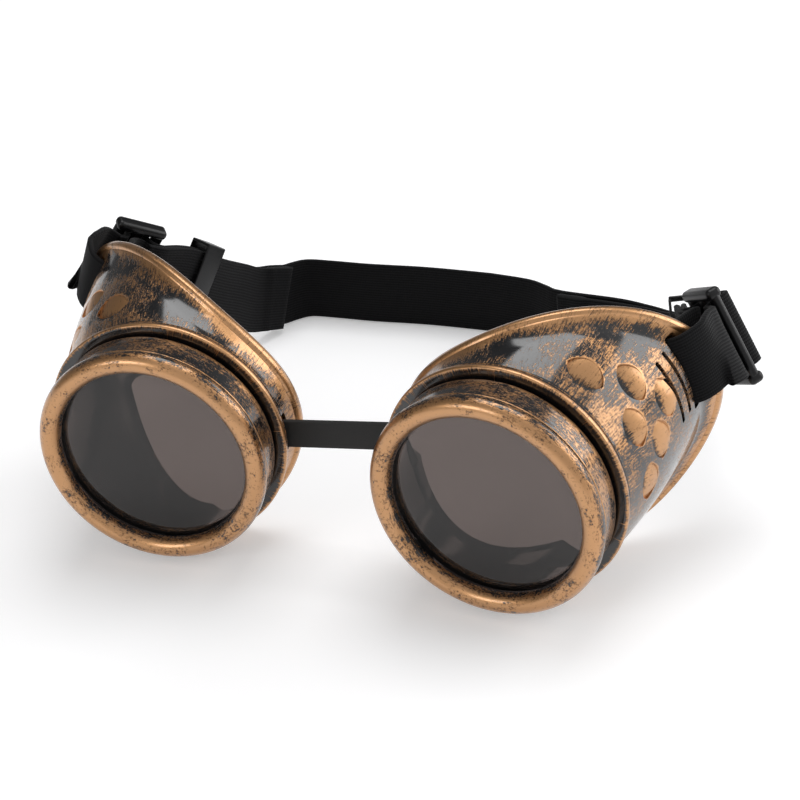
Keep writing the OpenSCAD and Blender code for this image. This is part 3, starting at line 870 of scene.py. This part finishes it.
UP = (0, 0, 1)
LEFT_ROUND = (
    ((75, 79, 6), (-0.3, 0.45, 0.84)), ((73, 87, -0.6), (-0.22, 0.52, 0.83)),
    ((71, 96, -7.2), (-0.14, 0.5, 0.86)), ((68.8, 104, -12), (-0.08, 0.48, 0.87)),
    ((65.5, 112, -17), (-0.08, 0.42, 0.9)), ((60, 119.5, -20.6), (-0.08, 0.25, 0.96)),
    ((52, 125, -21.96), (-0.03, 0.08, 1)), ((42, 128, -22.16), UP), ((24, 129, -22.2), UP),
    ((18.5, 131.2, -22.2), UP), ((12.5, 133.6, -22.2), UP), ((0, 134.8, -22.2), UP))
RIGHT_ROUND = (
    ((75.2, 79, 6), (-0.3, 0.45, 0.84)), ((73.4, 87, -0.4), (-0.22, 0.52, 0.83)),
    ((72.2, 96, -6.8), (-0.14, 0.5, 0.86)), ((71.2, 104, -12), (-0.08, 0.48, 0.87)),
    ((69.8, 112, -17.4), (-0.06, 0.42, 0.9)), ((67.6, 119, -20), (-0.05, 0.2, 0.97)),
    ((64.8, 124, -21.7), UP), ((62.3, 128.2, -22.2), UP), ((58.5, 131, -22.2), UP),
    ((50, 131.8, -22.2), UP), ((38, 132.4, -22.2), UP), ((20, 134.2, -22.2), UP),
    ((0, 134.8, -22.2), UP))
LEFT_TAIL_END, RIGHT_TAIL_END = 8, 6
UNDER_GLIDE = (((78.4, 69.6, 10.9), (-0.5, 0.22, 0.84)), ((80.8, 66.9, 12.8), (-0.5, 0.18, 0.85)),
               ((82.2, 64, 14.6), (-0.44, 0.1, 0.89)), ((81.4, 60.6, 16.4), (-0.34, -0.02, 0.94)))
SLOT_PASS = ((34.6, 57.6), (33.8, 53.6), (33.5, 50.1), (34.4, 47.9), (36.9, 46.95), (39.4, 46.95),
             (41.3, 47.7), (43.3, 50), (44.6, 53))
SLOT_LEAN = 11
OVER_EDGE = (((88, 51.8, 23.2), (-0.5, -0.05, 0.86)), ((89.4, 56.9, 21.2), (-0.51, 0.1, 0.85)))
GLIDE_CLIMB = ((-7.4, -2.85), (-5.7, -2.7), (-4.3, -2.4), (-3.4, -1.2), (-2.85, 0.3), (-2.8, 2.2),
               (-2.6, 4), (-1.6, 5.4))
GLIDE_TOP = 5.8
GLIDE_TURN, GLIDE_AT = (74.1, 28.7, 133.2), (85.8, 67.9, 15.7)
KEEPER_TURN, KEEPER_AT = (83.8, 35.5, 104.2), (73.75, 84, 1.9)
GLIDE_FOLLOW, KEEPER_FOLLOW = 0.5, 0.35
LAYER_GAP, HEM_GAP = 1.9, 2.6


def turn_matrix(degrees):
    """Turns about X, then Y, then Z"""
    x, y, z = (math.radians(d) for d in degrees)
    return spun(z, "Z") @ spun(y, "Y") @ spun(x, "X")


def roll_in_cup(v, degrees):
    """Rolls a direction about the lens axis of the left cup"""
    cup = given("cup")
    matrix = spun(-cup.toe_in, "Z") @ spun(math.radians(degrees), "Y") @ spun(cup.toe_in, "Z")
    return matrix.to_3x3() @ Vector(v)


def rolled(station, degrees):
    cup = given("cup")
    eye = Vector((cup.eye_spacing / 2 / MM, 0, 0))
    place, across = Vector(station[0]), station[1]
    return (eye + roll_in_cup(place - eye, degrees), roll_in_cup(across, degrees), *station[2:])


def in_glide(x, z):
    matrix = turn_matrix(GLIDE_TURN).to_3x3()
    return Vector(GLIDE_AT) + matrix @ Vector((x, 0, z)), matrix @ Vector((0, 1, 0))


def in_slot(radius, depth):
    cup = given("cup")
    d, tilt = math.radians(BAND_SLOT[0]), math.radians(BAND_SLOT[2])
    toe = Matrix.Rotation(-cup.toe_in, 3, "Z")
    lean = d - math.radians(SLOT_LEAN)
    across = Vector((-math.cos(tilt) * math.sin(lean), -math.sin(tilt),
                     math.cos(tilt) * math.cos(lean)))
    eye = Vector((cup.eye_spacing / 2 / MM, 0, 0))
    place = Vector((radius * math.cos(d), depth, radius * math.sin(d)))
    return eye + toe @ place, toe @ across, 0


def half_route(stations, tail_end, side):
    """Inner tail from its hem, through slot and tri-glide, then the outer layer to the middle"""
    roll = SIDES[side] * math.degrees(given("cup").roll)
    outer = [rolled(s, roll * KEEPER_FOLLOW * max(0, 1 - i / 4)) for i, s in enumerate(stations)]
    tail = []
    for i in range(tail_end, -1, -1):
        ahead, behind = outer[min(i + 1, len(outer) - 1)][0], outer[max(i - 1, 0)][0]
        along = (ahead - behind).normalized()
        across = outer[i][1]
        across = (across - along * across.dot(along)).normalized()
        gap = LAYER_GAP if i < tail_end - 1 else HEM_GAP
        tail.append((outer[i][0] - along.cross(across) * gap, outer[i][1]))
    climb = ([in_glide(*p) for p in GLIDE_CLIMB] + [in_glide(0, GLIDE_TOP)]
             + [in_glide(-x, z) for x, z in reversed(GLIDE_CLIMB)])
    ear = ([rolled(s, roll * (GLIDE_FOLLOW + 0.1)) for s in UNDER_GLIDE]
           + [rolled(in_slot(*p), roll) for p in SLOT_PASS]
           + [rolled(OVER_EDGE[0], roll), rolled(OVER_EDGE[1], roll * 0.75)]
           + [rolled(s, roll * GLIDE_FOLLOW) for s in climb])
    route = tail + ear + outer
    rows = [(*s[0], *s[1], s[2] if len(s) > 2 else 1) for s in route]
    mirror = np.array([SIDES[side], 1, 1] * 2 + [1])
    return np.array(rows) * mirror


def fine_route(stations):
    """Smooth curve through the stations"""
    rows = []
    for i in range(len(stations) - 1):
        a, b, c, d = (stations[min(max(k, 0), len(stations) - 1)] for k in (i - 1, i, i + 1, i + 2))
        steps = max(2, round(np.linalg.norm((c - b)[:3]) / ROUTE_STEP))
        for k in range(steps):
            u = k / steps
            rows.append(0.5 * (2 * b + (c - a) * u + (2 * a - 5 * b + 4 * c - d) * u * u
                               + (3 * b - a - 3 * c + d) * u ** 3))
    return np.array(rows + [stations[-1]])


def unit(rows):
    return rows / np.linalg.norm(rows, axis=1)[:, None]


def route_frames(rows):
    """Place, direction across and direction outwards at each row"""
    place, across = rows[:, :3], rows[:, 3:6]
    along = unit(np.gradient(place, axis=0))
    across = unit(across - along * (np.sum(across * along, axis=1) * rows[:, 6])[:, None])
    return place, across, unit(np.cross(along, across))


class GOGGLES_OT_headband(Operator):
    """Weaves the ribbed headband along its route"""
    bl_idname = "goggles.headband"
    bl_label = "Headband"

    def execute(self, context):
        sizes = given("strap")
        cup = given("cup")
        left = fine_route(half_route(LEFT_ROUND, LEFT_TAIL_END, "left"))
        right = fine_route(half_route(RIGHT_ROUND, RIGHT_TAIL_END, "right"))
        place, across, up = route_frames(np.concatenate([left[:-1], right[::-1]]))
        place = place * MM + np.array([0, -cup.eye_back, cup.axis_height])
        steps = np.linalg.norm(np.diff(place, axis=0), axis=1)
        along = np.concatenate([[0], np.cumsum(steps)])
        end = np.minimum(along, along[-1] - along)
        half = sizes.band_t / 2 + (sizes.hem_t - sizes.band_t) / 2 * ramp(end, 9.5 * MM, 8.0 * MM)
        half = half * np.sqrt(np.clip(1 - (1 - np.clip(end / (1.2 * MM), 0, 1)) ** 2, 0.02, 1))
        seams = sum(ramp(np.abs(end - seam * MM), 0.7 * MM, 0.0) for seam in (7.0, 3.2))
        half = half - 0.22 * MM * seams
        per_side = 4 * sizes.ribs
        flat = np.linspace(-1, 1, per_side + 1)
        rib = sizes.rib_h * 0.5 * (1 + np.cos(flat * sizes.ribs * math.pi))
        edge = 0.035
        turn = np.clip((np.abs(flat) - (1 - edge)) / edge, 0, 1)
        squeeze = np.sqrt(np.clip(1 - turn ** 2, 0.1, 1))
        x, ribs, squeeze = (np.concatenate([row, row[::-1]]) for row in (flat, rib, squeeze))
        top = np.repeat([1.0, -1.0], len(flat))
        count = len(x)
        across_mm = x * sizes.ribs / 2

        def ring(i, j):
            height = (half[i] * squeeze[j] - ribs[j] * (end[i] > 1.5 * MM)) * top[j]
            out = across[i] * (x[j] * sizes.band_w / 2)[:, None]
            return place[i] + out + up[i] * height[:, None]

        def cells(u, v):
            return np.rint(v * (len(place) - 1)).astype(int), np.rint(u * count).astype(int) % count

        def lay(u, v):
            return ring(*cells(u, v))

        def weave(u, v):
            i, j = cells(u, v)
            return np.column_stack([across_mm[j], along[i] / MM, top[j]])

        band = wrapped("elastic_headband", count, len(place) - 1, lay, marks=weave)
        dress(band, woven_elastic("ribbed_elastic"))
        shade(band, 60)
        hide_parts("headband")
        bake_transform(band)
        return {"FINISHED"}


class GOGGLES_OT_nose_strap(Operator):
    """Shapes the nose strap with its wider ends"""
    bl_idname = "goggles.nose_strap"
    bl_label = "Nose Strap"

    def execute(self, context):
        sizes = given("strap")
        cup = given("cup")
        vent = given("vent")
        nose_r, half_l = 29.7 * MM, 20.4 * MM
        z = nose_r * math.sin(math.radians(NOSE_SLOT[0]))
        tilt = math.atan(nose_r * math.sin(cup.roll) / (cup.eye_spacing / 2 - nose_r))
        matrix = (shift(0, 18.9 * MM - cup.eye_back, z + cup.axis_height)
                  @ Matrix.Rotation(-tilt, 4, "Y"))
        strap = rounded_bar("strap", (2 * half_l, sizes.nose_t, sizes.nose_w), matrix, 0.5 * MM, 4)
        with editing(strap):
            for i in range(-13, 14):
                middle = matrix @ Vector((i * STRAP_STEP, 0, 0))
                bpy.ops.mesh.select_all(action="SELECT")
                bpy.ops.mesh.bisect(plane_co=middle, plane_no=matrix.to_3x3() @ Vector((1, 0, 0)))
        stop_t, stop_l, stop_h = 2.8 * MM, 2.4 * MM, vent.nose_slot_l + 1.6 * MM
        wall_r = skin_r_at(NOSE_SLOT[0], NOSE_SLOT[1] * MM + stop_t / 2) - cup.wall
        reach = math.sqrt(wall_r ** 2 - stop_h ** 2 / 4) - 0.35 * MM - stop_l / 2
        ends = [rounded_bar("stop", (stop_l, stop_t, stop_h),
                            facing(side, *NOSE_SLOT) @ shift(reach, 0, 0), 0.5 * MM, 4)
                for side in SIDES]
        cut(strap, ends, "UNION")
        strap.name = strap.data.name = "nose_bridge_strap"
        tidy_mesh(strap, merge=1e-6)
        dress(strap, moulded_rubber("strap_rubber"))
        shade(strap, 40)
        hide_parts("nose_strap")
        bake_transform(strap)
        return {"FINISHED"}


class GOGGLES_OT_buckles(Operator):
    """Moulds the tri-glides and keepers"""
    bl_idname = "goggles.buckles"
    bl_label = "Tri-Glides and Keepers"

    def execute(self, context):
        look = given("finishes")
        material = black_moulding("buckle_plastic", tuple(look.buckle), 0.34, 2200.0, 0.00004)
        for side in SIDES:
            for piece, node, body in ((self.tri_glide(side), "_tri_glide", "_cup"),
                                      (self.keeper(side), "_keeper", "_keeper")):
                dress(piece, material)
                shade(piece, 40)
                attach(piece, side + body)
                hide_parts(side + node)
        return {"FINISHED"}

    def tri_glide(self, side):
        sizes = given("strap")
        matrix = (about_eye(side, GLIDE_FOLLOW)
                  @ Matrix.Translation([p * MM for p in GLIDE_AT]) @ turn_matrix(GLIDE_TURN))
        inner = sizes.band_w / 2 + sizes.glide_play
        bar_x, rail_y = (sizes.glide_l - sizes.glide_bar_w) / 2, inner + sizes.rail_w / 2
        long = 2 * inner + sizes.rail_w
        bar = (sizes.glide_bar_w, long, sizes.glide_bar_t)
        rail = (sizes.glide_l, sizes.rail_w, sizes.rail_t)
        bars = []
        for end in (-1, 1):
            bars.append(rounded_bar("bar", bar, matrix @ shift(end * bar_x, 0, 0),
                                    sizes.glide_bar_t * 0.47, 8))
            bars.append(rounded_bar("rail", rail, matrix @ shift(0, end * rail_y, 0),
                                    sizes.rail_w * 0.44, 8))
        glide = rounded_bar("bar", (sizes.glide_mid_w, long, sizes.glide_mid_t),
                            matrix @ shift(0, 0, -0.2 * MM), sizes.glide_mid_t * 0.47, 8)
        cut(glide, bars, "UNION")
        glide.name = glide.data.name = side + "_glide"
        tidy_mesh(glide, merge=1e-6)
        return glide

    def keeper(self, side):
        sizes = given("strap")
        play = 0.4 * MM
        high = sizes.band_w + sizes.keeper_gap + play
        matrix = (about_eye(side, KEEPER_FOLLOW)
                  @ Matrix.Translation([p * MM for p in KEEPER_AT]) @ turn_matrix(KEEPER_TURN)
                  @ shift(0, (sizes.keeper_gap - play) / 2, -LAYER_GAP * MM / 2))
        wall, spare, opening = sizes.keeper_wall, 0.3 * MM, sizes.keeper_open
        outer = rounded_bar("keeper", (sizes.keeper_l, high + 2 * wall, opening + 2 * wall),
                            Matrix(), 0.4 * MM, 4)
        inner = rounded_bar("hole", (2 * sizes.keeper_l, high + spare, opening + 2 * spare),
                            Matrix(), 0.12 * MM, 2)
        cut(outer, [inner])
        modify(outer, "BEVEL", width=0.12 * MM, segments=2, limit_method="ANGLE",
               angle_limit=math.radians(50))
        put(outer, matrix)
        outer.name = outer.data.name = side + "_keeper_loop"
        return outer


class GOGGLES_OT_stage(Operator):
    """Sets the floor, lamps and camera"""
    bl_idname = "goggles.stage"
    bl_label = "Stage"

    def execute(self, context):
        self.floor()
        self.sky()
        self.lamps()
        self.camera()
        context.scene.view_settings.view_transform = "Standard"
        return {"FINISHED"}

    def seen(self, f):
        """1 for rays from the camera, off gloss or through glass"""
        rays = [Value(f, f.add("LightPath").outputs[name])
                for name in ("Is Camera Ray", "Is Glossy Ray", "Is Transmission Ray")]
        return rays[0].max(rays[1]).max(rays[2])

    def floor(self):
        deselect()
        bpy.ops.mesh.primitive_plane_add(size=6, location=(0, 0, -0.0002))
        floor = bpy.context.object
        floor.name = "floor"
        bpy.ops.object.transform_apply(location=True, rotation=True, scale=True)
        f = Finish("pale_floor")
        rgb = tuple(given("finishes").floor)
        plain = f.add("BsdfDiffuse", {"Color": rgb})
        glow = f.add("Emission", {"Color": (1, 1, 1), "Strength": 0.3})
        both = f.add("AddShader", {0: plain.outputs[0], 1: glow.outputs[0]})
        mixed = f.add("MixShader",
                      {"Fac": self.seen(f), 1: plain.outputs[0], 2: both.outputs[0]})
        dress(floor, f.close(mixed))

    def sky(self):
        """White where it is seen, dimmer to the front and the left in gloss, soft as light"""
        world = bpy.data.worlds.new("studio")
        bpy.context.scene.world = world
        f = Finish(world)
        rays = f.add("LightPath")
        gloss = Value(f, rays.outputs["Is Glossy Ray"])
        through = Value(f, rays.outputs["Is Transmission Ray"])
        seen = Value(f, rays.outputs["Is Camera Ray"]).max(through)
        ways = f.add("TexCoord").outputs["Generated"]
        way = f.add("SeparateXYZ", {0: ways})
        lean = Value(f, way.outputs[0]) * 0.7 - Value(f, way.outputs[1]) * 0.5
        shown = lean.step(-0.5, 0.5) * 0.5 + 0.14
        plain = (gloss * -1.0 + 1.0) * 0.36
        level = seen.max(gloss * shown + plain)
        back = f.add("Background", {"Color": (1, 1, 1), "Strength": level})
        f.close(back, "OutputWorld")

    def lamps(self):
        lamps = (("side_softbox", (0.82, 0.46, 0.46), (0.02, 0, 0.03), 0.9, 0.7, 6.0),
                 ("top_softbox", (0.0, 0.27, 1.05), (0, 0, 0.03), 0.7, 0.6, 4.8),
                 ("front_softbox", (-0.5, -0.95, 0.55), (0, 0, 0.03), 0.5, 0.35, 2.2))
        for name, at, to, wide, high, watts in lamps:
            bpy.ops.object.light_add(type="AREA", location=at)
            lamp = bpy.context.object
            lamp.name = name
            lamp.data.shape = "RECTANGLE"
            lamp.data.size, lamp.data.size_y = wide, high
            lamp.data.energy = watts
            lamp.rotation_euler = (Vector(to) - Vector(at)).to_track_quat("-Z", "Y").to_euler()

    def camera(self):
        bpy.ops.object.camera_add(location=(0.18354, -0.43094, 0.30209))
        camera = bpy.context.object
        camera.name = "camera"
        right = Vector((0.9324040, 0.3533620, -0.0758814))
        down = Vector((0.1242655, -0.5105956, -0.8507938))
        ahead = Vector((-0.3393830, 0.7838542, -0.5199921))
        camera.rotation_euler = Matrix((right, -down, -ahead)).transposed().to_euler()
        camera.data.sensor_width = 36
        camera.data.lens = 89.624
        camera.data.clip_start, camera.data.clip_end = 0.01, 20
        bpy.context.scene.camera = camera


class VIEW3D_PT_goggles(Panel):
    """Sizes, finishes and one button for each group of pieces"""
    bl_label = "Round-Eye Goggles"
    bl_space_type = "VIEW_3D"
    bl_region_type = "UI"
    bl_category = "Goggles"

    def draw(self, context):
        scene = context.scene
        for group in GROUPS:
            box = self.layout.box()
            settings = getattr(scene, group)
            for name in settings.bl_rna.properties.keys():
                if name not in {"rna_type", "name"}:
                    box.prop(settings, name)
        for operator in OPERATORS:
            self.layout.operator(operator.bl_idname)


GROUPS = {"goggle_cup": CupSizes, "goggle_vent": VentSizes, "goggle_ring": RingSizes,
          "goggle_strap": StrapSizes, "goggle_finishes": Finishes}
OPERATORS = (GOGGLES_OT_cups, GOGGLES_OT_rings, GOGGLES_OT_lenses, GOGGLES_OT_nose_strap,
             GOGGLES_OT_headband, GOGGLES_OT_buckles, GOGGLES_OT_stage)


CLASSES = (*GROUPS.values(), *OPERATORS, VIEW3D_PT_goggles)


def register():
    for kind in CLASSES:
        bpy.utils.register_class(kind)
    for name, kind in GROUPS.items():
        setattr(bpy.types.Scene, name, PointerProperty(type=kind))


def unregister():
    for name in GROUPS:
        delattr(bpy.types.Scene, name)
    for kind in reversed(CLASSES):
        bpy.utils.unregister_class(kind)


def plain(box):
    return [[round(float(c), 6) for c in corner] for corner in box]


def main():
    register()
    bpy.ops.goggles.cups()
    bpy.ops.goggles.rings()
    bpy.ops.goggles.lenses()
    bpy.ops.goggles.nose_strap()
    bpy.ops.goggles.headband()
    bpy.ops.goggles.buckles()
    bpy.ops.goggles.stage()


if __name__ == "__main__":
    main()
